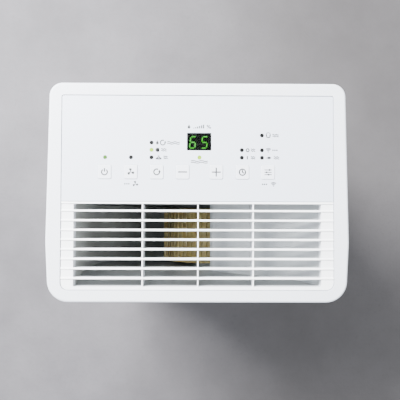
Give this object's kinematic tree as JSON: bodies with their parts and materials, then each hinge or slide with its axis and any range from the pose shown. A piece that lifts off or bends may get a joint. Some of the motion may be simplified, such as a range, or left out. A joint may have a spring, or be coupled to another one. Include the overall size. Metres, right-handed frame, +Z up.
{
  "type": "dehumidifier",
  "caption": "Free-standing compressor dehumidifier with a top control panel and air outlet grille, a pull-out bucket, a side-sliding rear filter and swivel casters.",
  "frame": {"origin": "on the floor, under the middle of the casing", "axes": "+X to the user's right, +Y towards the rear, +Z up"},
  "size_m": [0.3918, 0.284, 0.6151],
  "materials": {
    "casing_white": "satin, fine spark texture",
    "panel_white": "smooth satin",
    "button_white": "smooth satin",
    "grille_white": "satin",
    "display_black": "black face",
    "display_green": "lit",
    "display_lens": "clear window",
    "lamp_lit": "lit",
    "lamp_dark": "unlit",
    "duct_grey": "moulded, lightly dusty",
    "duct_dark": "moulded dark grey, lightly dusty",
    "duct_white": "moulded",
    "wheel_natural": "natural moulded",
    "motor_metal": "zinc plated",
    "shaft_steel": "ground",
    "fin_aluminium": "thin sheet",
    "tube_copper": "drawn copper",
    "plate_steel": "galvanised",
    "tray_plastic": "moulded",
    "compressor_black": "baked paint",
    "core_iron": "laminated",
    "rubber_black": "moulded",
    "zinc_steel": "zinc plated",
    "board_green": "solder mask",
    "switch_black": "moulded",
    "capacitor_grey": "drawn can",
    "partition_grey": "moulded",
    "filter_grey": "moulded",
    "filter_net": "fine nylon net",
    "tank_clear": "translucent",
    "level_clear": "clear",
    "float_foam": "foamed",
    "caster_black": "moulded",
    "tread_grey": "moulded"
  },
  "bodies": {
    "cabinet": {"top_cover": "casing_white", "outlet_grille": "grille_white", "control_panel": "panel_white", "control_board": "board_green", "tact_switches": "switch_black", "indicator_lenses_lit": "lamp_lit", "indicator_lenses_dark": "lamp_dark", "display_segments": "display_green", "display_module": "display_black", "display_window": "display_lens", "volute_wall": "duct_grey", "outlet_ramp": "duct_white", "volute_front_plate": "duct_white", "volute_inlet_plate": "duct_dark", "fan_motor": "motor_metal", "evaporator_fins": "fin_aluminium", "condenser_fins": "fin_aluminium", "coil_tubes": "tube_copper", "coil_end_plates": "plate_steel", "drain_tray": "tray_plastic", "compressor_shell": "compressor_black", "compressor_core": "core_iron", "compressor_grommets": "rubber_black", "compressor_nuts": "zinc_steel", "refrigerant_lines": "tube_copper", "run_capacitor": "capacitor_grey", "base_pan": "casing_white", "front_cabinet": "casing_white", "rear_cabinet": "casing_white", "intake_grille": "grille_white", "handle_cups": "grille_white", "casing_screws": "zinc_steel", "bay_partition": "partition_grey", "drain_spigot": "grille_white", "cord_gland": "grille_white"},
    "blower": {"blower_wheel": "wheel_natural", "motor_shaft": "shaft_steel"},
    "filter": {"filter_frame": "filter_grey", "filter_mesh": "filter_net"},
    "bucket": {"bucket_tank": "tank_clear", "bucket_lid": "tank_clear", "bucket_front": "casing_white", "level_window": "level_clear"},
    "bail": {"bucket_handle": "grille_white"},
    "float": {"float_arm": "float_foam"},
    "button_power": {"button_power": "button_white"},
    "button_fan": {"button_fan": "button_white"},
    "button_mode": {"button_mode": "button_white"},
    "button_minus": {"button_minus": "button_white"},
    "button_plus": {"button_plus": "button_white"},
    "button_timer": {"button_timer": "button_white"},
    "button_function": {"button_function": "button_white"},
    "caster_front_left": {"caster_fork_front_left": "caster_black"},
    "wheel_front_left": {"caster_wheel_front_left": "tread_grey"},
    "caster_front_right": {"caster_fork_front_right": "caster_black"},
    "wheel_front_right": {"caster_wheel_front_right": "tread_grey"},
    "caster_rear_left": {"caster_fork_rear_left": "caster_black"},
    "wheel_rear_left": {"caster_wheel_rear_left": "tread_grey"},
    "caster_rear_right": {"caster_fork_rear_right": "caster_black"},
    "wheel_rear_right": {"caster_wheel_rear_right": "tread_grey"}
  },
  "joints": [
    {"name": "button_power_press", "type": "slide", "parent": "cabinet", "child": "button_power", "axis": [0, 0, -1], "range_m": [0, 0.0008], "stiffness_N_per_m": 1500},
    {"name": "button_fan_press", "type": "slide", "parent": "cabinet", "child": "button_fan", "axis": [0, 0, -1], "range_m": [0, 0.0008], "stiffness_N_per_m": 1500},
    {"name": "button_mode_press", "type": "slide", "parent": "cabinet", "child": "button_mode", "axis": [0, 0, -1], "range_m": [0, 0.0008], "stiffness_N_per_m": 1500},
    {"name": "button_minus_press", "type": "slide", "parent": "cabinet", "child": "button_minus", "axis": [0, 0, -1], "range_m": [0, 0.0008], "stiffness_N_per_m": 1500},
    {"name": "button_plus_press", "type": "slide", "parent": "cabinet", "child": "button_plus", "axis": [0, 0, -1], "range_m": [0, 0.0008], "stiffness_N_per_m": 1500},
    {"name": "button_timer_press", "type": "slide", "parent": "cabinet", "child": "button_timer", "axis": [0, 0, -1], "range_m": [0, 0.0008], "stiffness_N_per_m": 1500},
    {"name": "button_function_press", "type": "slide", "parent": "cabinet", "child": "button_function", "axis": [0, 0, -1], "range_m": [0, 0.0008], "stiffness_N_per_m": 1500},
    {"name": "blower_spin", "type": "hinge", "parent": "cabinet", "child": "blower", "pos_m": [0.029, -0.06, 0.435], "axis": [0, 1, 0], "continuous": true},
    {"name": "filter_slide", "type": "slide", "parent": "cabinet", "child": "filter", "axis": [1, 0, 0], "range_m": [0, 0.36]},
    {"name": "bucket_slide", "type": "slide", "parent": "cabinet", "child": "bucket", "axis": [0, -1, 0], "range_m": [0, 0.16]},
    {"name": "bucket_handle_fold", "type": "hinge", "parent": "bucket", "child": "bail", "pos_m": [0, -0.06, 0.204], "axis": [1, 0, 0], "range_deg": [0, 90]},
    {"name": "float_rise", "type": "hinge", "parent": "bucket", "child": "float", "pos_m": [0.12, -0.02, 0.188], "axis": [-1, 0, 0], "range_deg": [0, 8]},
    {"name": "swivel_front_left", "type": "hinge", "parent": "cabinet", "child": "caster_front_left", "pos_m": [-0.15, -0.105, 0.04], "axis": [0, 0, 1], "continuous": true},
    {"name": "roll_front_left", "type": "hinge", "parent": "caster_front_left", "child": "wheel_front_left", "pos_m": [-0.15, -0.096, 0.015], "axis": [1, 0, 0], "continuous": true},
    {"name": "swivel_front_right", "type": "hinge", "parent": "cabinet", "child": "caster_front_right", "pos_m": [0.15, -0.105, 0.04], "axis": [0, 0, 1], "continuous": true},
    {"name": "roll_front_right", "type": "hinge", "parent": "caster_front_right", "child": "wheel_front_right", "pos_m": [0.15, -0.096, 0.015], "axis": [1, 0, 0], "continuous": true},
    {"name": "swivel_rear_left", "type": "hinge", "parent": "cabinet", "child": "caster_rear_left", "pos_m": [-0.15, 0.105, 0.04], "axis": [0, 0, 1], "continuous": true},
    {"name": "roll_rear_left", "type": "hinge", "parent": "caster_rear_left", "child": "wheel_rear_left", "pos_m": [-0.15, 0.114, 0.015], "axis": [1, 0, 0], "continuous": true},
    {"name": "swivel_rear_right", "type": "hinge", "parent": "cabinet", "child": "caster_rear_right", "pos_m": [0.15, 0.105, 0.04], "axis": [0, 0, 1], "continuous": true},
    {"name": "roll_rear_right", "type": "hinge", "parent": "caster_rear_right", "child": "wheel_rear_right", "pos_m": [0.15, 0.114, 0.015], "axis": [1, 0, 0], "continuous": true}
  ]
}
